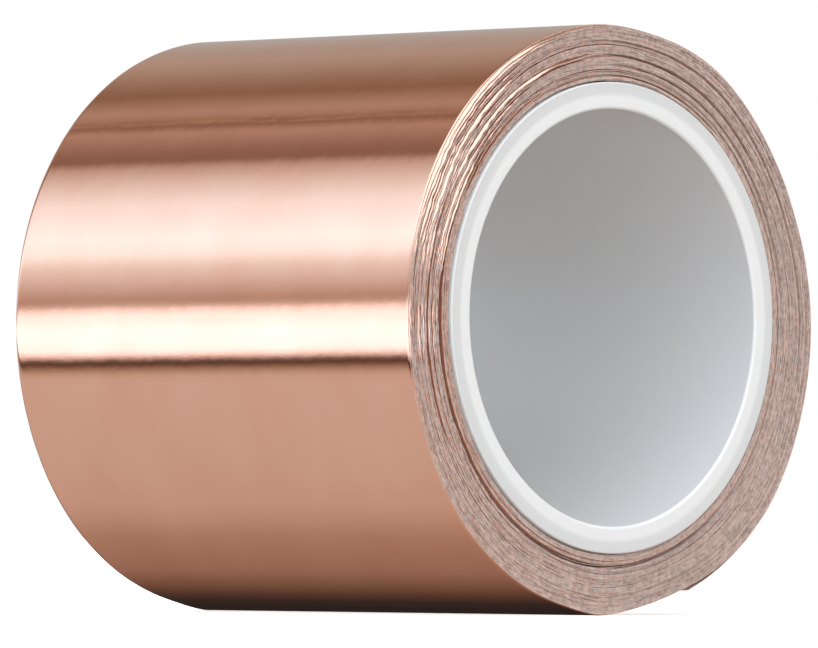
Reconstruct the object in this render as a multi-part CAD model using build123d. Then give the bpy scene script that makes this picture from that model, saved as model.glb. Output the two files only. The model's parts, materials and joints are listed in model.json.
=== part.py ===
"""Copper foil tape roll: a wide roll of adhesive-backed copper foil on a plastic core.

The tape is three bonded layers, wound foil side out: copper foil, a film of adhesive and
a paper release liner.  It is one continuous strip, so each layer of the wound part is one
spiral solid, except that the foil's outermost turn, which everything outside touches, is
a solid of its own.  The free end of the strip, the tail, is cut into short spans at the
lines where it bends, because the tail lifts off the roll, and the foil's last stretch
peels off the liner.  Units are millimetres.

Frame: the origin is the centre of the core's bore, +Y runs along the bore and +Z is up.
The roll lies on its round side.  Angles are measured in the XZ plane, from +X towards +Z.
"""

import os
from math import cos, degrees, radians, sin

from build123d import *

# Driving dimensions
TAPE_WIDTH = 101.6
BORE_DIAMETER = 76.2
CORE_WALL = 5.0
CORE_OVERHANG = 0.7  # the core stands this far out of the tape at each end
CORE_INNER_ROUND = 0.6
CORE_OUTER_CHAMFER = 0.25

FOIL_THICKNESS = 0.036
ADHESIVE_THICKNESS = 0.034
LINER_THICKNESS = 0.120
TURN_PITCH = 0.200  # the layers together, plus 0.01 of air between turns
TURNS = 54

TACK_THICKNESS = 0.08
TACK_LENGTH = 25.0
CORE_TO_FIRST_TURN = 0.10

TIP_ANGLE = -66.0  # where the cut end of the tape lies at rest
TAIL_LENGTH = 45.0
TAIL_RADIUS = 55.4  # the tail is a little straighter than the roll, so its tip stands off
TAIL_BEND_LINES = (0.0, 7.0, 14.0, 21.0)  # distances along the tail from its root
PEEL_BEND_LINES = (25.0, 30.0, 36.0)  # where the foil bends as it leaves the liner

# Sizes that follow
CORE_RADIUS = BORE_DIAMETER / 2 + CORE_WALL
CORE_LENGTH = TAPE_WIDTH + 2 * CORE_OVERHANG
TAPE_THICKNESS = FOIL_THICKNESS + ADHESIVE_THICKNESS + LINER_THICKNESS
FIRST_TURN_RADIUS = CORE_RADIUS + CORE_TO_FIRST_TURN
ROOT_RADIUS = FIRST_TURN_RADIUS + TAPE_THICKNESS + TURNS * TURN_PITCH
ROOT_ANGLE = TIP_ANGLE + degrees(TAIL_LENGTH / TAIL_RADIUS)

# Depth of each layer's two faces below the outside of the tape
LAYERS = {
    "foil": (0.0, FOIL_THICKNESS),
    "adhesive": (FOIL_THICKNESS, FOIL_THICKNESS + ADHESIVE_THICKNESS),
    "liner": (FOIL_THICKNESS + ADHESIVE_THICKNESS, TAPE_THICKNESS),
}


def on_circle(centre, radius, angle):
    """The point at an angle on a circle, as local (x, y) of the winding plane."""
    return (
        centre[0] + radius * cos(radians(angle)),
        centre[1] + radius * sin(radians(angle)),
    )


def across_roll(profile, width=TAPE_WIDTH):
    """A profile drawn in the winding plane, extruded to both sides of it."""
    return extrude(Plane.XZ * profile, amount=width / 2, both=True)


def spiral_edges(depth, first_turn, last_turn):
    """Half circles between two turns, at a depth below the tape's outside.

    Turns are counted inwards from the tail's root.

    Two centres, a quarter pitch either side of the origin, take turns, so that each half
    circle meets the next one smoothly and the radius falls by a pitch in each turn.
    """
    edges = []
    for half in range(2 * first_turn, 2 * last_turn):
        side = 1 if half % 2 == 0 else -1
        centre = on_circle((0, 0), side * TURN_PITCH / 4, ROOT_ANGLE)
        radius = ROOT_RADIUS - depth - TURN_PITCH / 4 - half * TURN_PITCH / 2
        start = ROOT_ANGLE if side == 1 else ROOT_ANGLE + 180
        edges.append(CenterArc(centre, radius, start, 180))
    return edges


def wound_layer(layer, first_turn=0, last_turn=TURNS):
    """One layer of the wound tape between two turns: a single strip in a spiral."""
    outer_depth, inner_depth = LAYERS[layer]
    outside = spiral_edges(outer_depth, first_turn, last_turn)
    inside = spiral_edges(inner_depth, first_turn, last_turn)
    inner_end = Line(outside[-1] @ 1, inside[-1] @ 1)
    outer_end = Line(inside[0] @ 0, outside[0] @ 0)
    outline = Wire([*outside, inner_end, *reversed(inside), outer_end])
    return across_roll(Face(outline))


def tail_centre():
    """The tail's arc starts square to the root line, so its centre is on that line."""
    return on_circle((0, 0), ROOT_RADIUS - TAIL_RADIUS, ROOT_ANGLE)


def tail_angle(distance):
    """The angle about the tail's centre at a distance along the tail from its root."""
    return ROOT_ANGLE - degrees(distance / TAIL_RADIUS)


def tail_span(layer, start, end):
    """One layer of the tail between two distances from the root."""
    centre = tail_centre()
    outer_depth, inner_depth = LAYERS[layer]
    outer_radius, inner_radius = TAIL_RADIUS - outer_depth, TAIL_RADIUS - inner_depth
    first, sweep = tail_angle(start), tail_angle(end) - tail_angle(start)
    outside = CenterArc(centre, outer_radius, first, sweep)
    inside = CenterArc(centre, inner_radius, first, sweep)
    tip_side = Line(outside @ 1, inside @ 1)
    root_side = Line(inside @ 0, outside @ 0)
    return across_roll(Face(Wire([outside, tip_side, inside, root_side])))


def bend_axis(distance):
    """Where a bend line crosses the winding plane: on the outside of the foil."""
    return on_circle(tail_centre(), TAIL_RADIUS, tail_angle(distance))


def core_tube():
    """Plain extruded tube, its bore eased at both ends and its outer edges broken."""
    ring = Circle(CORE_RADIUS) - Circle(BORE_DIAMETER / 2)
    tube = across_roll(ring, CORE_LENGTH)
    circles = tube.edges().filter_by(GeomType.CIRCLE).sort_by(lambda edge: edge.radius)
    tube = fillet(circles[:2], CORE_INNER_ROUND)
    circles = tube.edges().filter_by(GeomType.CIRCLE).sort_by(lambda edge: edge.radius)
    return chamfer(circles[-2:], CORE_OUTER_CHAMFER)


def core_tack_strip():
    """Double-sided strip that holds the start of the tape to the core."""
    sweep = degrees(TACK_LENGTH / CORE_RADIUS)
    start = ROOT_ANGLE - sweep
    inside = CenterArc((0, 0), CORE_RADIUS, start, sweep)
    outside = CenterArc((0, 0), CORE_RADIUS + TACK_THICKNESS, start, sweep)
    leading, trailing = Line(inside @ 1, outside @ 1), Line(outside @ 0, inside @ 0)
    return across_roll(Face(Wire([inside, leading, outside, trailing])))


def tail_parts():
    """The tail's spans by node name: three layers at first, then the foil's free end."""
    parts = {}
    lift_ends = (*TAIL_BEND_LINES[1:], TAIL_LENGTH)
    for number, (start, end) in enumerate(zip(TAIL_BEND_LINES, lift_ends), 1):
        bonded_end = min(end, PEEL_BEND_LINES[0])
        parts[f"foil_tail_{number}"] = tail_span("foil", start, bonded_end)
        parts[f"adhesive_tail_{number}"] = tail_span("adhesive", start, bonded_end)
        parts[f"liner_tail_{number}"] = tail_span("liner", start, end)
    peel_ends = (*PEEL_BEND_LINES[1:], TAIL_LENGTH)
    for number, (start, end) in enumerate(zip(PEEL_BEND_LINES, peel_ends), 1):
        parts[f"foil_end_{number}"] = tail_span("foil", start, end)
        parts[f"adhesive_end_{number}"] = tail_span("adhesive", start, end)
    return parts


def all_parts():
    """Every node of the roll by name."""
    return {
        "core_tube": core_tube(),
        "core_tack_strip": core_tack_strip(),
        "foil_outer_turn": wound_layer("foil", 0, 1),
        "foil_wound_turns": wound_layer("foil", 1, TURNS),
        "adhesive_wound_turns": wound_layer("adhesive"),
        "liner_wound_turns": wound_layer("liner"),
        **tail_parts(),
    }


if __name__ == "__main__":
    os.makedirs("parts", exist_ok=True)
    for name, solid in all_parts().items():
        export_step(solid, f"parts/{name}.step")
    print(f"outside radius at the root {ROOT_RADIUS:.3f}, root angle {ROOT_ANGLE:.3f}")
    for distance in (*TAIL_BEND_LINES, *PEEL_BEND_LINES):
        x, z = bend_axis(distance)
        print(f"bend line {distance:g} mm from the root: x {x:.4f}, z {z:.4f}")
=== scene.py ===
"""Copper foil tape roll: looks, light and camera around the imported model.

Blender's units are metres, and the numbers here are millimetres except where a comment
says otherwise. In the model's frame +Y runs along the bore, +Z is up and the roll lies on
its round side. Angles are in degrees in the XZ plane, from +X towards +Z. A place on the
tape is its turn count t, 0 at the root of the free end and rising inwards to the core, or
its distance s from that root, positive out along the free end and negative into the roll.
"""

import json
from math import atan2, cos, degrees, hypot, radians, sin

import bpy
import numpy as np
from mathutils import Matrix, Vector


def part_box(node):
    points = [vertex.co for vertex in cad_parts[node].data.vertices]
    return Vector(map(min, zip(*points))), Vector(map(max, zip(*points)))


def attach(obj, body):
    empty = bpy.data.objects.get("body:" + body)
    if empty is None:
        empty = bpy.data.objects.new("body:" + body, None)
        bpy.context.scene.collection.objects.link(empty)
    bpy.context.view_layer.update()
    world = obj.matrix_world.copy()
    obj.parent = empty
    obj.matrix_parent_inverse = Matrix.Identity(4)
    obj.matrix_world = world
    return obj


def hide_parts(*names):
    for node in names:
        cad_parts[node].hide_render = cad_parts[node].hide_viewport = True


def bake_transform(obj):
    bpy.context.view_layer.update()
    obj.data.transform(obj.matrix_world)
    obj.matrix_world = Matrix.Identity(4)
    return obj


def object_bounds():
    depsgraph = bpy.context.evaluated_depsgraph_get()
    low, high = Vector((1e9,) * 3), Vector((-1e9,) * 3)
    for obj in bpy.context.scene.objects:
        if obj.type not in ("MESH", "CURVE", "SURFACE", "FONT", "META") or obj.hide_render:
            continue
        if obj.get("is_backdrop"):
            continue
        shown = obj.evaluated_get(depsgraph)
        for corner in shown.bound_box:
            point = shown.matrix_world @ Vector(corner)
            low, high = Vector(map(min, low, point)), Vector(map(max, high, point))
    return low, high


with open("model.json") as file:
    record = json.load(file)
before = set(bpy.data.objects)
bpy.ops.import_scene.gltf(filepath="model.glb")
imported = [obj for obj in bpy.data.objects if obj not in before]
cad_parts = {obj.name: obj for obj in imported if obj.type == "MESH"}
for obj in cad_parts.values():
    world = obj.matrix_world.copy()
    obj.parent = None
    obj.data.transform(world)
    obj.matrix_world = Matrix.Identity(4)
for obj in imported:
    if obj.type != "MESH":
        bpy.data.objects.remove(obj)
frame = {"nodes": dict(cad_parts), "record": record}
cad_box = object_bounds()
joints = {joint["name"]: joint for joint in frame["record"]["behaviour"]["joints"]}
mounts = {mount["name"]: mount for mount in frame["record"]["mounts"]}

MM = 0.001

# The tape: each layer's two faces lie this deep below its outside
TURNS = 54
FOIL_DEPTH = (0.0, 0.034)
ADHESIVE_DEPTH = (0.034, 0.066)
LINER_DEPTH = (0.066, 0.180)
TAPE_WIDTH = (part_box("foil_outer_turn")[1].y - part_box("foil_outer_turn")[0].y) / MM
ROOT = [value / MM for value in joints["tail_lift"]["pos_m"]]
ROOT_RADIUS = hypot(ROOT[0], ROOT[2])
ROOT_ANGLE = degrees(atan2(ROOT[2], ROOT[0]))
TURN_LENGTH = 2 * np.pi * ROOT_RADIUS
TAIL_LENGTH = 45.0
TAIL_RADIUS = 55.4
TIP_ANGLE = ROOT_ANGLE - degrees(TAIL_LENGTH / TAIL_RADIUS)

# The core
CORE_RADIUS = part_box("core_tube")[1].x / MM
CORE_LENGTH = (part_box("core_tube")[1].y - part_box("core_tube")[0].y) / MM
BORE_RADIUS = mounts["core_bore"]["dims"]["r_mm"]
BORE_ROUND = 0.6
BORE_ROUND_STEPS = 6
# Its broken outer edge: how far in from the outside and from the end, and the normal there
CORE_BREAK = ((0.30, 0.0, 0, -1), (0.08, 0.06, 0.6, -0.8), (0.0, 0.30, 1, 0))
CORE_STEPS = 360
CORE_TO_FIRST_TURN = 0.1
LAST_RADIUS = CORE_RADIUS + CORE_TO_FIRST_TURN + LINER_DEPTH[1]

# Radius of the pack's outside by angle: it is wound a little off the core's centre and
# dented by handling, most of all beside the tip
OUTLINE = (
    (0, 54.68), (5, 54.56), (10, 54.36), (15, 54.23), (20, 53.92), (30, 53.88),
    (35, 53.82), (40, 53.92), (45, 54.03), (50, 54.15), (55, 54.29), (60, 54.27),
    (65, 54.07), (70, 53.83), (75, 53.54), (80, 53.42), (85, 53.48), (90, 53.63),
    (95, 53.78), (105, 53.78), (120, 53.87), (135, 53.88), (150, 53.80), (165, 53.75),
    (180, 53.68), (195, 53.88), (210, 54.20), (225, 54.45), (240, 54.45), (250, 54.32),
    (257, 54.22), (263, 54.50), (266, 54.72), (270, 54.32), (275, 53.86), (280, 53.58),
    (286, 53.42), (290, 53.50), (294, 53.64), (300, 54.10), (305, 54.42), (310, 54.74),
    (315, 54.82), (320, 55.07), (325, 55.07), (330, 55.01), (340, 54.84), (350, 54.78),
)
OUTLINE_ROUNDING = 2.0  # degrees
TIP_GAP = (-47, 0.51)  # the free end starts to stand off here, and by this much at its tip
TIP_GAP_POWER = 1.7  # how suddenly it does

# Loose places in the winding: turn and width of the gap
LOOSE_PLACES = (
    (16.8, 0.09), (25.6, 0.07), (30.2, 0.09), (39.8, 0.09),
    (44.4, 0.30), (48.8, 0.09), (53.2, 0.08),
)
LOOSE_TURNS = 0.5  # turns over which a gap opens and closes
LOOSE_HEIGHT = 1.13  # 2 / sqrt(pi), which makes a bump of half a turn add up to its gap
TIGHT_PITCH = 0.185  # from turn to turn between the loose places

# Turns whose edges lie deeper than their neighbours': turn, turns, depth, angle and
# half-span of the stretch
GROOVES = (
    (5.6, 1.8, 0.60, 182, 18),
    (16.6, 2.8, 0.75, 45, 50),
    (19.2, 1.6, 0.55, 105, 30),
    (25.6, 2.4, 0.70, 182, 26),
    (30.2, 2.8, 0.80, 72, 32),
    (32.0, 1.6, 0.50, 120, 20),
    (37.8, 1.8, 0.55, 262, 48),
    (39.8, 2.8, 0.75, 48, 40),
    (43.6, 2.8, 1.60, 230, 80),
    (48.8, 2.6, 0.85, 83, 28),
    (53.4, 0.9, 0.40, 240, 180),
)
GROOVE_POWER = 8  # the higher, the steeper a groove's two sides
# Turns whose edges stand out from the turn outside them and ease back: turn, height,
# turns of easing, angle and half-span of the stretch
LEDGES = (
    (0.8, 0.42, 2.0, 128, 28),
    (3.0, 0.42, 2.0, 132, 26),
    (6.2, 0.42, 2.5, 148, 24),
    (10.0, 0.46, 2.5, 142, 24),
    (12.6, 0.30, 1.5, 156, 18),
    (15.4, 0.72, 3.0, 142, 20),
    (18.4, 0.32, 1.5, 154, 18),
    (21.5, 0.50, 2.5, 148, 24),
    (24.4, 0.30, 1.5, 158, 18),
    (27.6, 0.68, 3.0, 124, 26),
    (31.0, 0.32, 1.5, 155, 18),
    (34.5, 0.50, 2.5, 142, 24),
    (37.3, 0.30, 1.5, 154, 16),
    (40.0, 0.45, 2.0, 150, 20),
    (47.0, 0.50, 2.0, 134, 16),
    (48.6, 0.20, 2.0, 236, 36),
    (9.6, 0.35, 3.0, 320, 48),
    (17.0, 0.20, 4.0, 340, 70),
)
LEDGE_RISE = 4  # a ledge rises over a turn divided by this
# No groove or ledge is even round the roll. Its height is this share of the one above, plus
# swings by angle, which keep neighbouring turns together: share, swings round the roll,
# seed. A small swing of each turn's own comes on top: share, turns for a swing, seed
BROKEN_SHARE = 0.92
BROKEN_BY_ANGLE = ((0.16, 40, 26), (0.16, 190, 27))
BROKEN_BY_TURN = (0.12, 0.02, 28)

# All turns' edges are a little out of line, in groups, in slow swings and as ragged
# slitting: height, turns for a swing, seed
EDGE_LEVELS = (0.13, 2.7, 31)
EDGE_WANDER = ((0.06, 0.9, 21), (0.05, 0.21, 22))
EDGE_RAG = ((0.035, 0.03, 23), (0.05, 0.009, 24), (0.07, 0.0042, 25))
EDGE_BEND = (0.6, 0.13)  # the slit edges turn down: over this width, by this much
BEND_STRAIGHT = 2.2  # past this many widths the bend goes straight on
BEND_FADE = 5  # it fades out beside the core, over the pack's depth divided by this

# Waves of the foil: size along the tape and across it, height, seed
BROAD_WAVES = (14, 17, 0.016, 11)
MIDDLE_WAVES = (7.5, 9, 0.005, 12)
SMALL_WAVES = (2.4, 1.3, 0.0065, 16)
PRESSED_WAVES = (4, 6, 0.017, 13)  # these are beside the pressed line only
PRESSED_REACH = 6  # degrees to each side of it
WAVE_FADE = 1.5  # how fast the waves die out inwards, for each turn
PRESSED_LINE = (137.5, 0.6)  # a faint line pressed across the tape: angle and half-width
PRESSED_DEPTH = 0.015
PRESSED_SHARES = (0.7, 0.5, 5, 15)  # of that depth: steady, and as a swing of size and seed
PRESSED_SWINGS = ((0.35, 9, 14), (0.15, 2.6, 17))  # its swings to the side: degrees, size, seed

FINE = (280, 140)  # steps round a turn and across the tape, where the foil shows
FINE_MARGIN = 1  # the steps across start this far from the slit edges
COARSE = 480  # steps round a turn inside the pack
LINE_STEPS = (4, 54)  # degrees to each side of the pressed line, and more steps there
FREE_STEP = 0.45  # length of a step along the free end
FREE_STEPS_LEAST = 8
OUTLINE_STEPS = 3600  # of a tenth of a degree
NORMAL_STEPS = (0.02, 0.01)  # along the tape and across it, for the slope that gives a normal


def smoothstep(x):
    """0 up to x = 0, 1 from x = 1, and an even S between them."""
    x = np.clip(x, 0, 1)
    return x * x * (3 - 2 * x)


def from_ring(values, place):
    """The values of a closed ring read at places along it, eased from each to the next."""
    cell = np.floor(place).astype(int)
    share = smoothstep(place - cell)
    return values[cell % len(values)] * (1 - share) + values[(cell + 1) % len(values)] * share


def noise_line(x, step, seed):
    """Smooth random values from -1 to 1 along a line, about one swing per step."""
    count = 4096
    values = np.random.default_rng(seed).uniform(-1, 1, count)
    return from_ring(values, np.asarray(x) / step + count // 2)


def noise_ring(angle, swings, seed):
    """Smooth random values from -1 to 1 that close up after a full circle."""
    values = np.random.default_rng(seed).uniform(-1, 1, swings)
    return from_ring(values, angle / 360 * swings)


def noise_sum(x, rows):
    """Several noise lines added up, from rows of height, step and seed."""
    return sum(height * noise_line(x, step, seed) for height, step, seed in rows)


def level_line(x, step, seed):
    """Random levels from -1 to 1, each a step long, starting eight steps below x = 0."""
    values = np.random.default_rng(seed).uniform(-1, 1, 512)
    place = x / step + 8
    cell = np.floor(place).astype(int)
    steepness = 7  # a level changes to the next one over a step divided by this
    share = smoothstep((place - cell - 0.5) * steepness + 0.5)
    return values[cell] * (1 - share) + values[cell + 1] * share


def noise_sheet(x, y, step_x, step_y, seed):
    """Smooth random values from -1 to 1 over a sheet."""
    count = 512
    values = np.random.default_rng(seed).uniform(-1, 1, (count, count))
    px, py = np.asarray(x) / step_x + count // 2, np.asarray(y) / step_y + count // 2
    cx, cy = np.floor(px).astype(int), np.floor(py).astype(int)
    sx, sy = smoothstep(px - cx), smoothstep(py - cy)
    corner = lambda i, j: values[(cx + i) % count, (cy + j) % count]
    low = corner(0, 0) * (1 - sx) + corner(1, 0) * sx
    high = corner(0, 1) * (1 - sx) + corner(1, 1) * sx
    return low * (1 - sy) + high * sy


def waves(arc, y, kind):
    """Height of one kind of wave at a length round the roll and a place across the tape."""
    along, across, height, seed = kind
    return noise_sheet(arc, y, along, across, seed) * height


def wound_depth(t):
    """How far below the pack's outside a turn lies, as a share of the whole pack."""
    places = np.linspace(0, TURNS, 20001)
    pitch = np.ones_like(places)
    for turn, width in LOOSE_PLACES:
        pitch += width / TIGHT_PITCH * np.exp(-(((places - turn) / LOOSE_TURNS) ** 2)) * LOOSE_HEIGHT
    depth = np.concatenate([[0], np.cumsum((pitch[1:] + pitch[:-1]) / 2)])
    return np.interp(t, places, depth / depth[-1])


def closed_curve(knots, rounding):
    """Values at each tenth of a degree of a closed curve through knots, rounded off."""
    angles, values = zip(*knots)
    plain = np.interp(np.arange(OUTLINE_STEPS) / 10, angles, values, period=360)
    reach = 100  # steps to each side over which the rounding is worked out
    kernel = np.exp(-((np.arange(-reach, reach + 1) / 10 / rounding) ** 2))
    wrapped = np.concatenate([plain[-reach:], plain, plain[:reach]])
    return np.convolve(wrapped, kernel / kernel.sum(), "valid")


OUTLINE_CURVE = closed_curve(OUTLINE, OUTLINE_ROUNDING)


def outline(angle):
    """Radius of the pack's outside, as far as its outermost turn reaches."""
    return np.interp(angle, np.arange(OUTLINE_STEPS) / 10, OUTLINE_CURVE, period=360)


def free_end(angle):
    """How far the free end stands off the pack."""
    start, gap = TIP_GAP
    return gap * np.clip((start - angle) / (start - TIP_ANGLE), 0, None) ** TIP_GAP_POWER


def ripple(angle, y):
    """The slight waves of thin foil wound over a soft stack, outwards."""
    arc = np.radians(angle) * ROOT_RADIUS
    broad = waves(arc, y, BROAD_WAVES)
    middle = waves(arc, y, MIDDLE_WAVES) + waves(arc, y, SMALL_WAVES)
    place, half_width = PRESSED_LINE
    beside = angle - place
    for height, size, seed in PRESSED_SWINGS:
        beside = beside - height * noise_line(y, size, seed)
    pressed = waves(arc, y, PRESSED_WAVES) * np.exp(-((beside / PRESSED_REACH) ** 2))
    least, more, size, seed = PRESSED_SHARES
    depth = PRESSED_DEPTH * (least + more * noise_line(y, size, seed))
    return broad + middle + pressed - depth * np.exp(-((beside / half_width) ** 2))


def stretch(t, angle, half_span):
    """A window that is 1 over a stretch of the circle and 0 outside it.

    It fades from three quarters of the half-span to five quarters of it.
    """
    away = abs((ROOT_ANGLE + 360 * t - angle + 180) % 360 - 180)
    return smoothstep(2.5 - 2 * away / half_span) if half_span < 180 else 1.0


def edge_shift(t):
    """How far the tape's two edges stand along +Y from their true place."""
    height, turns, seed = EDGE_LEVELS
    uneven = t + 1.3 * np.sin(0.8 * t)  # so that the groups aren't of one size
    shift = height * level_line(uneven, turns, seed)
    shift += noise_sum(t, EDGE_WANDER)
    shift += noise_sum(t, EDGE_RAG) * (0.3 + 0.7 * smoothstep(t - 0.5))  # less on the outer turn
    broken = BROKEN_SHARE
    for height, swings, seed in BROKEN_BY_ANGLE:
        broken = broken + height * noise_ring(360 * t, swings, seed)
    broken = broken + noise_sum(t, [BROKEN_BY_TURN])
    for turn, turns, depth, angle, half_span in GROOVES:
        window = np.exp(-((2 * (t - turn) / turns) ** GROOVE_POWER)) * stretch(t, angle, half_span)
        shift += depth * window * broken
    for turn, height, turns, angle, half_span in LEDGES:
        inwards = t - turn
        window = smoothstep(inwards * LEDGE_RISE) * np.exp(-np.clip(inwards, 0, None) / turns)
        shift -= height * window * stretch(t, angle, half_span) * broken
    # The free end is true, and the shift comes in over the first third of the outer turn
    return shift * smoothstep((t + 0.02) * 3)


def surface(t, v, depth):
    """Points of the tape at a turn count, a place across it and a depth."""
    angle = ROOT_ANGLE + 360 * t
    height = outline(angle) - LAST_RADIUS
    layers_in = wound_depth(t)
    is_free = t < 0
    shrink = np.where(is_free, 1.0, height / (ROOT_RADIUS - LAST_RADIUS))
    wound = LAST_RADIUS + height * (1 - layers_in)
    radius = np.where(is_free, outline(angle) + free_end(angle), wound) - depth * shrink
    y = v + edge_shift(t)
    radius += ripple(angle, y) * np.exp(-np.clip(t, 0, None) * WAVE_FADE)
    width, drop = EDGE_BEND
    past = np.clip((abs(y) - TAPE_WIDTH / 2) / width + 1, 0, None)
    straight = 2 * BEND_STRAIGHT * past - BEND_STRAIGHT**2
    bent = np.where(past < BEND_STRAIGHT, past**2, straight)
    radius -= drop * bent * smoothstep(BEND_FADE - BEND_FADE * layers_in)
    turn = np.radians(angle)
    return np.stack([radius * np.cos(turn), y, radius * np.sin(turn)], -1)


def add_piece(name, mesh, material):
    """A new object in the scene from a mesh."""
    mesh.materials.append(material)
    piece = bpy.data.objects.new(name, mesh)
    bpy.context.scene.collection.objects.link(piece)
    return piece


def slab(name, t, across, depths, material):
    """A closed strip of one layer between two depths, along turn counts t.

    Its normals come from the tape's own curve, so that neighbouring pieces of one layer
    shade as one surface. Its UVs are the length and the width along the tape in metres.
    """
    rows, cols = len(t), len(across)
    grid_t, grid_v = np.meshgrid(t, across, indexing="ij")
    ahead, beside = NORMAL_STEPS[0] / TURN_LENGTH, NORMAL_STEPS[1]
    points, normals = [], []
    for depth, way_out in zip(depths, (1, -1)):
        points.append(surface(grid_t, grid_v, depth))
        along = surface(grid_t + ahead, grid_v, depth) - surface(grid_t - ahead, grid_v, depth)
        sideways = surface(grid_t, grid_v + beside, depth) - surface(grid_t, grid_v - beside, depth)
        normal = np.cross(sideways, along)
        normals.append(way_out * normal / np.linalg.norm(normal, axis=-1, keepdims=True))
    top = np.arange(rows * cols).reshape(rows, cols)
    low = top + rows * cols
    out, inn = normals
    quads, quad_normals = [], []

    def add(a, b, c, d, na, nb, nc, nd):
        quads.append(np.stack([a, b, c, d], -1).reshape(-1, 4))
        quad_normals.append(np.stack([na, nb, nc, nd], -2).reshape(-1, 4, 3))

    # The outer and the inner face
    add(top[:-1, :-1], top[:-1, 1:], top[1:, 1:], top[1:, :-1],
        out[:-1, :-1], out[:-1, 1:], out[1:, 1:], out[1:, :-1])
    add(low[:-1, :-1], low[1:, :-1], low[1:, 1:], low[:-1, 1:],
        inn[:-1, :-1], inn[1:, :-1], inn[1:, 1:], inn[:-1, 1:])
    # The two slit edges
    near = np.broadcast_to([0.0, -1.0, 0.0], (rows - 1, 3))
    add(top[:-1, 0], top[1:, 0], low[1:, 0], low[:-1, 0], near, near, near, near)
    far = -near
    add(top[:-1, -1], low[:-1, -1], low[1:, -1], top[1:, -1], far, far, far, far)
    # The two ends
    for row, sign in ((0, -1), (-1, 1)):
        step = points[0][1] - points[0][0] if row == 0 else points[0][-1] - points[0][-2]
        way = np.broadcast_to(sign * step[0] / np.linalg.norm(step[0]), (cols - 1, 3))
        a, b, c, d = top[row, :-1], low[row, :-1], low[row, 1:], top[row, 1:]
        if sign > 0:
            b, d = d, b
        add(a, b, c, d, way, way, way, way)
    quads = np.concatenate(quads)
    mesh = bpy.data.meshes.new(name)
    vertices = np.concatenate([p.reshape(-1, 3) for p in points]) * MM
    mesh.from_pydata(vertices.tolist(), [], quads.tolist())
    length = -grid_t * TURN_LENGTH * MM
    uv = np.stack([length, grid_v * MM], -1).reshape(-1, 2)
    uv = np.concatenate([uv, uv])
    mesh.uv_layers.new(name="tape").data.foreach_set("uv", uv[quads.ravel()].ravel())
    mesh.shade_smooth()
    mesh.normals_split_custom_set(np.concatenate(quad_normals).reshape(-1, 3).tolist())
    return add_piece(name, mesh, material)


def lathe(name, profile, steps, material):
    """A ring from a closed profile turned about the Y axis.

    Each point of the profile is its radius and y, then the same two parts of its normal.
    """
    radius, y, normal_r, normal_y = (np.array(column) for column in zip(*profile))
    count = len(profile)
    turn = np.linspace(0, 2 * np.pi, steps, endpoint=False)

    def turned(outwards, sideways):
        x, z = np.outer(np.cos(turn), outwards), np.outer(np.sin(turn), outwards)
        return np.stack([x, np.broadcast_to(sideways, (steps, count)), z], -1).reshape(-1, 3)

    index = np.arange(steps * count).reshape(steps, count)
    ahead, beside = np.roll(index, -1, 0), np.roll(index, -1, 1)
    quads = np.stack([index, beside, np.roll(ahead, -1, 1), ahead], -1).reshape(-1, 4)
    mesh = bpy.data.meshes.new(name)
    mesh.from_pydata((turned(radius, y) * MM).tolist(), [], quads.tolist())
    mesh.shade_smooth()
    mesh.normals_split_custom_set_from_vertices(turned(normal_r, normal_y).tolist())
    return add_piece(name, mesh, material)


# Materials; their sizes are in metres

# The colour sockets of a Mix node, which has others of the same names
MIX_A, MIX_B, MIX_RESULT = 6, 7, 2

SLIT_MARGIN = 0.02  # a layer's face is all that is further than this from a slit edge, in mm


def new_material(name):
    """A material with its nodes, its links and its shader."""
    material = bpy.data.materials.new(name)
    material.use_nodes = True
    nodes, links = material.node_tree.nodes, material.node_tree.links
    return material, nodes, links, nodes["Principled BSDF"]


def node(nodes, kind, **settings):
    """A new node with its sockets or properties set."""
    made = nodes.new(kind)
    for key, value in settings.items():
        if key in made.inputs:
            made.inputs[key].default_value = value
        else:
            setattr(made, key, value)
    return made


def mapped(nodes, links, source, scale):
    """Coordinates stretched by a scale for each axis."""
    mapping = nodes.new("ShaderNodeMapping")
    mapping.inputs["Scale"].default_value = scale
    links.new(source, mapping.inputs["Vector"])
    return mapping.outputs["Vector"]


def noise(nodes, links, source, **settings):
    """A noise texture's value at some coordinates."""
    made = node(nodes, "ShaderNodeTexNoise", **settings)
    links.new(source, made.inputs["Vector"])
    return made.outputs["Fac"]


def ramp(nodes, links, source, stops):
    """Colours looked up by a value, from stops of (value, colour)."""
    made = nodes.new("ShaderNodeValToRGB")
    elements = made.color_ramp.elements
    while len(elements) < len(stops):
        elements.new(0.5)
    for element, (place, colour) in zip(elements, stops):
        element.position = place
        element.color = (*colour, 1)
    links.new(source, made.inputs["Fac"])
    return made.outputs["Color"]


def bump(nodes, links, height, strength, distance):
    """A bump node, its distance in metres."""
    made = node(nodes, "ShaderNodeBump", Strength=strength, Distance=distance)
    links.new(height, made.inputs["Height"])
    return made


def tape_coordinates(nodes):
    """Length and width along the tape."""
    source = nodes.new("ShaderNodeUVMap")
    source.uv_map = "tape"
    return source.outputs["UV"]


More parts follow.
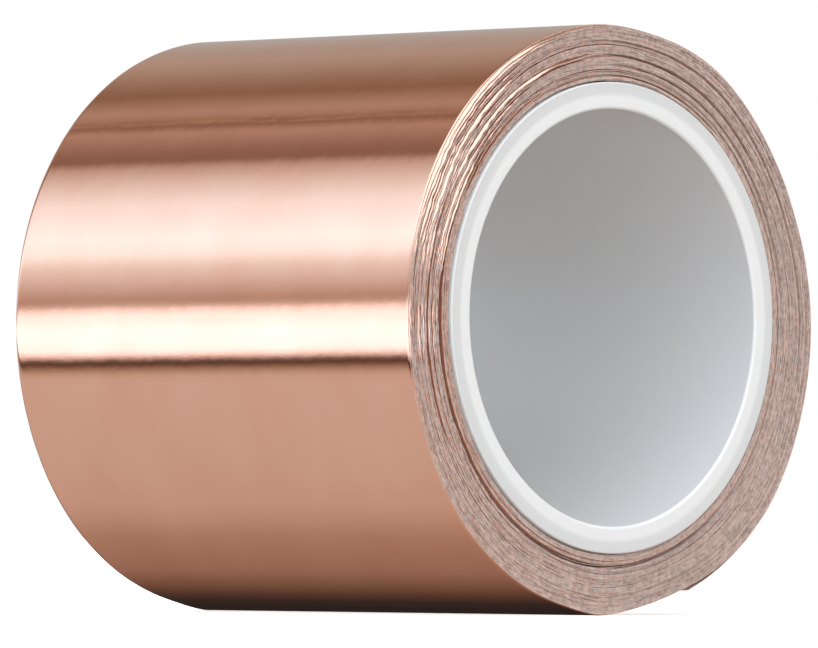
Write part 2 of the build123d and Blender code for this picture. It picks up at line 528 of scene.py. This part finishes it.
def copper_foil():
    """Bright rolled foil: fine rolling streaks along it, a grain, a slow drift of tone."""
    material, nodes, links, shader = new_material("copper foil")
    uv = tape_coordinates(nodes)
    along = mapped(nodes, links, uv, (60, 2500, 1))
    streaks = noise(nodes, links, along, Scale=1.0, Detail=3.0, Roughness=0.6)
    grainy = mapped(nodes, links, uv, (1800, 1800, 1))
    grain = noise(nodes, links, grainy, Scale=1.0, Detail=4.0, Roughness=0.65)
    cloud = noise(nodes, links, mapped(nodes, links, uv, (45, 70, 1)), Scale=1.0, Detail=2.0)
    colour = ramp(nodes, links, cloud, [
        (0.3, (0.915, 0.525, 0.385)),
        (0.7, (0.945, 0.570, 0.430)),
    ])
    links.new(colour, shader.inputs["Base Color"])
    gloss = nodes.new("ShaderNodeMapRange")
    links.new(streaks, gloss.inputs["Value"])
    gloss.inputs["To Min"].default_value = 0.055
    gloss.inputs["To Max"].default_value = 0.085
    links.new(gloss.outputs["Result"], shader.inputs["Roughness"])
    shader.inputs["Metallic"].default_value = 1.0
    first = bump(nodes, links, streaks, strength=0.15, distance=0.000004)
    second = bump(nodes, links, grain, strength=0.40, distance=0.000008)
    links.new(first.outputs["Normal"], second.inputs["Normal"])
    links.new(second.outputs["Normal"], shader.inputs["Normal"])
    return material


def strip_edge(name, dark, light, roughness, broad):
    """A matt layer mottled with painted shade for its ragged slit edges, its tone drifting along the
    tape.

    dark and light are the slit edges' tones and broad is what its faces add to them.
    """
    material, nodes, links, shader = new_material(name)
    uv = tape_coordinates(nodes)
    slow = mapped(nodes, links, uv, (55, 40, 1))
    drift = noise(nodes, links, slow, Scale=1.0, Detail=4.0, Roughness=0.6)
    fibre = noise(nodes, links, mapped(nodes, links, uv, (900, 900, 1)), Scale=1.0, Detail=3.0)
    everywhere = nodes.new("ShaderNodeTexCoord").outputs["Object"]
    # Painted shade: dark mottling that stands for the dark spots of ragged, crinkled slit edges
    ragged_shade = noise(nodes, links, everywhere, Scale=1150.0, Detail=3.0, Roughness=0.65)
    tone_and_shade = node(nodes, "ShaderNodeMix", data_type="RGBA", blend_type="MULTIPLY", Factor=1.0)
    links.new(ramp(nodes, links, drift, [(0.3, dark), (0.7, light)]), tone_and_shade.inputs[MIX_A])
    ragged_shade_colour = ramp(nodes, links, ragged_shade, [(0.36, (0.60, 0.57, 0.55)), (0.64, (1, 1, 1))])
    links.new(ragged_shade_colour, tone_and_shade.inputs[MIX_B])
    place = nodes.new("ShaderNodeSeparateXYZ")
    links.new(uv, place.inputs["Vector"])
    from_middle = node(nodes, "ShaderNodeMath", operation="ABSOLUTE")
    links.new(place.outputs["Y"], from_middle.inputs[0])
    on_face = node(nodes, "ShaderNodeMath", operation="LESS_THAN")
    on_face.inputs[1].default_value = (TAPE_WIDTH / 2 - SLIT_MARGIN) * MM
    links.new(from_middle.outputs["Value"], on_face.inputs[0])
    paler_faces = node(nodes, "ShaderNodeMix", data_type="RGBA", blend_type="ADD")
    links.new(on_face.outputs["Value"], paler_faces.inputs["Factor"])
    links.new(tone_and_shade.outputs[MIX_RESULT], paler_faces.inputs[MIX_A])
    paler_faces.inputs[MIX_B].default_value = (*broad, 1)
    links.new(paler_faces.outputs[MIX_RESULT], shader.inputs["Base Color"])
    shader.inputs["Roughness"].default_value = roughness
    fibres = bump(nodes, links, fibre, strength=0.3, distance=0.00002)
    links.new(fibres.outputs["Normal"], shader.inputs["Normal"])
    return material


def core_plastic():
    """Extruded plastic, its end face brightest in its inner half and darker outside it: painted light,
    let through the plastic from the bore.
    """
    material, nodes, links, shader = new_material("core plastic")
    place = nodes.new("ShaderNodeTexCoord").outputs["Object"]
    split = nodes.new("ShaderNodeSeparateXYZ")
    links.new(place, split.inputs["Vector"])
    flat = nodes.new("ShaderNodeCombineXYZ")
    links.new(split.outputs["X"], flat.inputs["X"])
    links.new(split.outputs["Z"], flat.inputs["Z"])
    radius = node(nodes, "ShaderNodeVectorMath", operation="LENGTH")
    links.new(flat.outputs["Vector"], radius.inputs["Vector"])
    across = nodes.new("ShaderNodeMapRange")
    across.inputs["From Min"].default_value = BORE_RADIUS * MM
    across.inputs["From Max"].default_value = CORE_RADIUS * MM
    links.new(radius.outputs["Value"], across.inputs["Value"])
    # Painted light: the inner half of the end face is lighter, as if lit through the plastic from the
    # bore
    colour = ramp(nodes, links, across.outputs["Result"], [
        (0.0, (0.78, 0.775, 0.76)),
        (0.02, (0.925, 0.92, 0.89)),
        (0.46, (0.925, 0.92, 0.89)),
        (0.62, (0.78, 0.78, 0.755)),
        (0.94, (0.76, 0.76, 0.735)),
        (0.985, (0.88, 0.875, 0.85)),
    ])
    links.new(colour, shader.inputs["Base Color"])
    shader.inputs["Roughness"].default_value = 0.42
    shader.inputs["Subsurface Weight"].default_value = 0.08
    shader.inputs["Subsurface Scale"].default_value = 0.002
    mottle = noise(nodes, links, place, Scale=1800.0, Detail=3.0)
    skin = bump(nodes, links, mottle, strength=0.2, distance=0.00002)
    links.new(skin.outputs["Normal"], shader.inputs["Normal"])
    return material


def tack_tissue():
    """The fibrous tissue of a double-sided strip."""
    material, nodes, links, shader = new_material("tack tissue")
    place = nodes.new("ShaderNodeTexCoord").outputs["Object"]
    fibre = noise(nodes, links, place, Scale=1500.0, Detail=5.0)
    colour = ramp(nodes, links, fibre, [(0.3, (0.72, 0.69, 0.61)), (0.7, (0.84, 0.82, 0.75))])
    links.new(colour, shader.inputs["Base Color"])
    shader.inputs["Roughness"].default_value = 0.8
    return material


copper = copper_foil()
# The liner's slit edges are a pinkish grey: the paper's own tone plus a painted reflection of the copper
# beside them
liner_paper = strip_edge("liner paper", (0.52, 0.44, 0.40), (0.70, 0.62, 0.58), 0.7, (0.27, 0.26, 0.23))
adhesive_film = strip_edge("adhesive", (0.32, 0.23, 0.19), (0.46, 0.35, 0.30), 0.5, (0.16, 0.15, 0.11))
plastic = core_plastic()

# The core

half_core = CORE_LENGTH / 2
near_half = []
for a in np.radians(np.linspace(0, 90, BORE_ROUND_STEPS + 1)):
    out_by = BORE_RADIUS + BORE_ROUND - BORE_ROUND * cos(a)
    near_half.append((out_by, -half_core + BORE_ROUND - BORE_ROUND * sin(a), -cos(a), -sin(a)))
for inwards, from_end, normal_r, normal_y in CORE_BREAK:
    near_half.append((CORE_RADIUS - inwards, -half_core + from_end, normal_r, normal_y))
far_half = [(r, -y, normal_r, -normal_y) for r, y, normal_r, normal_y in reversed(near_half)]
core = lathe("core", near_half + far_half, CORE_STEPS, plastic)
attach(core, "roll")
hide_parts("core_tube")

tack = frame["nodes"]["core_tack_strip"]
tack.data.materials.clear()
tack.data.materials.append(tack_tissue())

# The free end is in pieces that meet half way between its bend lines: each piece's span and
# the zone over which it passes from one body to the next, as distances s, then the bodies
BENDS = (
    ((-3.5, 3.5), (-1.5, 3.5), ("roll", "tail_1"), "tail_1"),
    ((3.5, 10.5), (3.5, 10.5), ("tail_1", "tail_2"), "tail_2"),
    ((10.5, 17.5), (10.5, 17.5), ("tail_2", "tail_3"), "tail_3"),
    ((17.5, 23.0), (18.5, 23.0), ("tail_3", "tail_4"), "tail_4"),
    ((23.0, 27.5), (24.0, 27.5), ("tail_4", "foil_end_1"), "end_1"),
    ((27.5, 33.0), (27.5, 33.0), ("foil_end_1", "foil_end_2"), "end_2"),
    ((33.0, TAIL_LENGTH), (33.0, 39.0), ("foil_end_2", "foil_end_3"), "end_3"),
)
LINER_BENDS = (
    *BENDS[:3],
    ((17.5, TAIL_LENGTH), (17.5, 24.5), ("tail_3", "tail_4"), "tail_4"),
)

# The wound turns start where the free end's first piece ends, inside the roll

half_tape = TAPE_WIDTH / 2
bend = EDGE_BEND[0]
across_coarse = np.array([-half_tape, -half_tape + bend, half_tape - bend, half_tape])
across_foil = np.sort([*across_coarse, -half_tape + bend / 3, half_tape - bend / 3])
across_fine = np.linspace(-half_tape + FINE_MARGIN, half_tape - FINE_MARGIN, FINE[1])
across_fine = np.sort([*across_foil, *across_fine])

first_t = -BENDS[0][0][0] / TURN_LENGTH
line_t = (PRESSED_LINE[0] + np.linspace(-LINE_STEPS[0], LINE_STEPS[0], LINE_STEPS[1]) - ROOT_ANGLE) / 360
outer_t = np.sort([*np.linspace(first_t, 1.0, FINE[0]), *line_t])
foil_t = np.linspace(1.0, TURNS, COARSE * (TURNS - 1))
liner_t = np.linspace(first_t, TURNS, COARSE * TURNS)
adhesive_t = liner_t[::2]
for name, t, across, depths, material, replaced, slot_name in (
    ("foil_outer", outer_t, across_fine, FOIL_DEPTH, copper, "foil_outer_turn", "copper"),
    ("foil_turns", foil_t, across_foil, FOIL_DEPTH, copper, "foil_wound_turns", "copper"),
    ("adhesive_turns", adhesive_t, across_coarse, ADHESIVE_DEPTH, adhesive_film,
     "adhesive_wound_turns", "adhesive"),
    ("liner_turns", liner_t, across_coarse, LINER_DEPTH, liner_paper, "liner_wound_turns", "liner"),
):
    piece = slab(name, t, across, depths, material)
    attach(piece, "roll")
    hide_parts(replaced)

# The free end's pieces


def tape_point(s):
    """The middle of the tape's outside at a distance s, in metres."""
    return Vector(surface(np.array(-s / TURN_LENGTH), np.array(0.0), 0.0)) * MM


def free_piece(prefix, bend_row, depths, material):
    """One layer's piece of the free end, as the tape lies at rest."""
    span, zone, bodies, label = bend_row
    count = max(FREE_STEPS_LEAST, round((span[1] - span[0]) / FREE_STEP))
    t = -np.linspace(*span, count + 1)[::-1] / TURN_LENGTH
    piece = slab(f"{prefix}_free_{label}", t, across_fine, depths, material)
    tape_point(zone[0])
    tape_point(zone[1])
    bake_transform(piece)
    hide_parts(f"{prefix}_{label}")


for bend_row in BENDS:
    free_piece("foil", bend_row, FOIL_DEPTH, copper)
    free_piece("adhesive", bend_row, ADHESIVE_DEPTH, adhesive_film)
for bend_row in LINER_BENDS:
    free_piece("liner", bend_row, LINER_DEPTH, liner_paper)

# The floor, in metres: a plain pale plane that the roll neither mirrors nor is lit by

scene = bpy.context.scene
scene.view_settings.view_transform = "Standard"
FLOOR_REACH = 6
floor_mesh = bpy.data.meshes.new("floor")
floor_corners = [(x * FLOOR_REACH, y * FLOOR_REACH, 0) for x, y in ((-1, -1), (1, -1), (1, 1), (-1, 1))]
floor_mesh.from_pydata(floor_corners, [], [(0, 1, 2, 3)])
floor_material, nodes, links, shader = new_material("pale floor")
shader.inputs["Base Color"].default_value = (0.93, 0.93, 0.93, 1)
shader.inputs["Roughness"].default_value = 0.9
shader.inputs["Emission Color"].default_value = (1, 1, 1, 1)
shader.inputs["Emission Strength"].default_value = 0.6
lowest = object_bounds()[0].z
floor = add_piece("floor", floor_mesh, floor_material)
floor.location.z = lowest
floor.visible_glossy = False
floor.visible_diffuse = False
floor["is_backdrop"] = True

# The studio: soft boxes and dark screens that run parallel to the roll, as the light's
# colour by angle. A colour ramp holds 32 stops, so there are two, which meet at one angle
SURROUNDINGS = (
    (0, 1.30, 1.30, 1.30),
    (6, 1.30, 1.30, 1.30),
    (9, 0.46, 0.45, 0.43),
    (40, 0.43, 0.40, 0.365),
    (47, 0.455, 0.40, 0.36),
    (58, 0.39, 0.34, 0.285),
    (75, 0.257, 0.172, 0.12),
    (86, 0.45, 0.36, 0.315),
    (92, 0.36, 0.27, 0.21),
    (94.5, 0.24, 0.147, 0.107),
    (98, 0.46, 0.36, 0.32),
    (108.5, 0.285, 0.20, 0.165),
    (112.8, 0.25, 0.17, 0.13),
    (115.8, 0.54, 0.495, 0.455),
    (121.8, 0.76, 0.795, 0.84),
    (132, 1.03, 1.26, 1.46),
    (147, 1.48, 1.62, 1.95),
    (153, 1.18, 1.50, 1.76),
    (158.6, 0.90, 0.99, 1.06),
    (165, 0.71, 0.71, 0.74),
    (172.6, 0.47, 0.37, 0.32),
    (174.4, 0.62, 0.60, 0.58),
    (176.6, 1.50, 1.55, 1.75),
    (183, 1.70, 1.90, 2.25),
    (190.8, 1.50, 1.75, 2.05),
    (192.8, 0.88, 0.78, 0.75),
    (194.3, 0.02, 0.00, 0.00),
    (195.8, 0.06, 0.02, 0.01),
    (197.4, 0.33, 0.25, 0.19),
    (200.2, 0.61, 0.56, 0.52),
    (203, 0.64, 0.60, 0.58),
    (237, 0.60, 0.56, 0.53),
)
UNDERSIDE = (
    (237, 0.60, 0.56, 0.53),
    (256, 0.58, 0.50, 0.46),
    (277, 0.41, 0.31, 0.25),
    (299, 0.31, 0.21, 0.17),
    (313, 0.18, 0.11, 0.074),
    (322, 0.095, 0.055, 0.042),
    (334, 0.025, 0.02, 0.018),
    (351, 0.02, 0.02, 0.02),
    (354, 1.30, 1.30, 1.30),
    (360, 1.30, 1.30, 1.30),
)
PEAK = 2.3  # the ramps' values are shares of this
OVERHEAD_BOX = Vector((-0.35, -0.25, 0.90)).normalized()
OVERHEAD_EDGE = (0.62, 0.74)  # cosines of the angle from its middle, where it fades out
OVERHEAD_COLOUR = (0.76, 0.82, 0.90, 1)

world = bpy.data.worlds.new("studio")
world.use_nodes = True
scene.world = world
nodes, links = world.node_tree.nodes, world.node_tree.links
nodes.clear()
direction = nodes.new("ShaderNodeTexCoord").outputs["Generated"]
split = nodes.new("ShaderNodeSeparateXYZ")
links.new(direction, split.inputs["Vector"])
# The angle of the reversed direction runs from -180 to 180 as the true one does from 0 to 360
bearing = node(nodes, "ShaderNodeMath", operation="ARCTAN2")
for socket, axis in enumerate("ZX"):
    flip = node(nodes, "ShaderNodeMath", operation="MULTIPLY")
    flip.inputs[1].default_value = -1
    links.new(split.outputs[axis], flip.inputs[0])
    links.new(flip.outputs["Value"], bearing.inputs[socket])
share = nodes.new("ShaderNodeMapRange")
share.inputs["From Min"].default_value = -np.pi
share.inputs["From Max"].default_value = np.pi
links.new(bearing.outputs["Value"], share.inputs["Value"])


def light_ramp(levels):
    """The studio's colour by angle, as a share of its peak."""
    stops = [(angle / 360, (r / PEAK, g / PEAK, b / PEAK)) for angle, r, g, b in levels]
    return ramp(nodes, links, share.outputs["Result"], stops)


below = node(nodes, "ShaderNodeMath", operation="GREATER_THAN")
below.inputs[1].default_value = UNDERSIDE[0][0] / 360
links.new(share.outputs["Result"], below.inputs[0])
both = node(nodes, "ShaderNodeMix", data_type="RGBA")
links.new(below.outputs["Value"], both.inputs["Factor"])
links.new(light_ramp(SURROUNDINGS), both.inputs[MIX_A])
links.new(light_ramp(UNDERSIDE), both.inputs[MIX_B])
overhead = node(nodes, "ShaderNodeVectorMath", operation="DOT_PRODUCT")
overhead.inputs[1].default_value = OVERHEAD_BOX
links.new(direction, overhead.inputs[0])
box_edge = node(nodes, "ShaderNodeMapRange", interpolation_type="SMOOTHSTEP")
box_edge.inputs["From Min"].default_value = OVERHEAD_EDGE[0]
box_edge.inputs["From Max"].default_value = OVERHEAD_EDGE[1]
links.new(overhead.outputs["Value"], box_edge.inputs["Value"])
boxed = node(nodes, "ShaderNodeMix", data_type="RGBA")
links.new(box_edge.outputs["Result"], boxed.inputs["Factor"])
links.new(both.outputs[MIX_RESULT], boxed.inputs[MIX_A])
boxed.inputs[MIX_B].default_value = OVERHEAD_COLOUR
lit = nodes.new("ShaderNodeBackground")
lit.inputs["Strength"].default_value = PEAK
links.new(boxed.outputs[MIX_RESULT], lit.inputs["Color"])
# The camera sees plain white behind the roll
seen = nodes.new("ShaderNodeBackground")
seen.inputs["Color"].default_value = (1, 1, 1, 1)
choose = nodes.new("ShaderNodeMixShader")
links.new(nodes.new("ShaderNodeLightPath").outputs["Is Camera Ray"], choose.inputs["Fac"])
links.new(lit.outputs["Background"], choose.inputs[1])
links.new(seen.outputs["Background"], choose.inputs[2])
output = nodes.new("ShaderNodeOutputWorld")
links.new(choose.outputs["Shader"], output.inputs["Surface"])


def soft_box(name, place, target, size, power):
    """A square lamp in metres and watts, which nothing mirrors."""
    data = bpy.data.lights.new(name, "AREA")
    data.shape = "SQUARE"
    data.size = size
    data.energy = power
    lamp = bpy.data.objects.new(name, data)
    lamp.location = place
    lamp.rotation_euler = (Vector(target) - Vector(place)).to_track_quat("-Z", "Y").to_euler()
    lamp.visible_glossy = False
    scene.collection.objects.link(lamp)


soft_box("front", place=(0.1, -2.2, 0.1), target=(0, 0, 0), size=0.8, power=12.5)

# The camera: its place is to the right of the roll's centre, up and back from it, in radii
# of the roll
AZIMUTH, ELEVATION, ROLL = radians(-45.89), radians(-1.21), radians(0.26)
CAMERA_PLACE = (-0.0122, -0.0100, 32.59)
CAMERA_LENS, CAMERA_SENSOR = 417.1, 36

back = Vector((
    sin(AZIMUTH) * cos(ELEVATION),
    -cos(AZIMUTH) * cos(ELEVATION),
    sin(ELEVATION),
))
level = Vector((0, 0, 1)).cross(back).normalized()
upright = back.cross(level)
right = cos(ROLL) * level + sin(ROLL) * upright
up = -sin(ROLL) * level + cos(ROLL) * upright
camera_data = bpy.data.cameras.new("camera")
camera_data.lens = CAMERA_LENS
camera_data.sensor_width = CAMERA_SENSOR
camera = bpy.data.objects.new("camera", camera_data)
aside, upwards, away = CAMERA_PLACE
place = (aside * right + upwards * up + away * back) * ROOT_RADIUS * MM
camera.matrix_world = Matrix((
    (right.x, up.x, back.x, place.x),
    (right.y, up.y, back.y, place.y),
    (right.z, up.z, back.z, place.z),
    (0, 0, 0, 1),
))
scene.collection.objects.link(camera)
scene.camera = camera

({
    "cad": [list(corner) for corner in cad_box],
    "visual": [list(corner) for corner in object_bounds()],
})
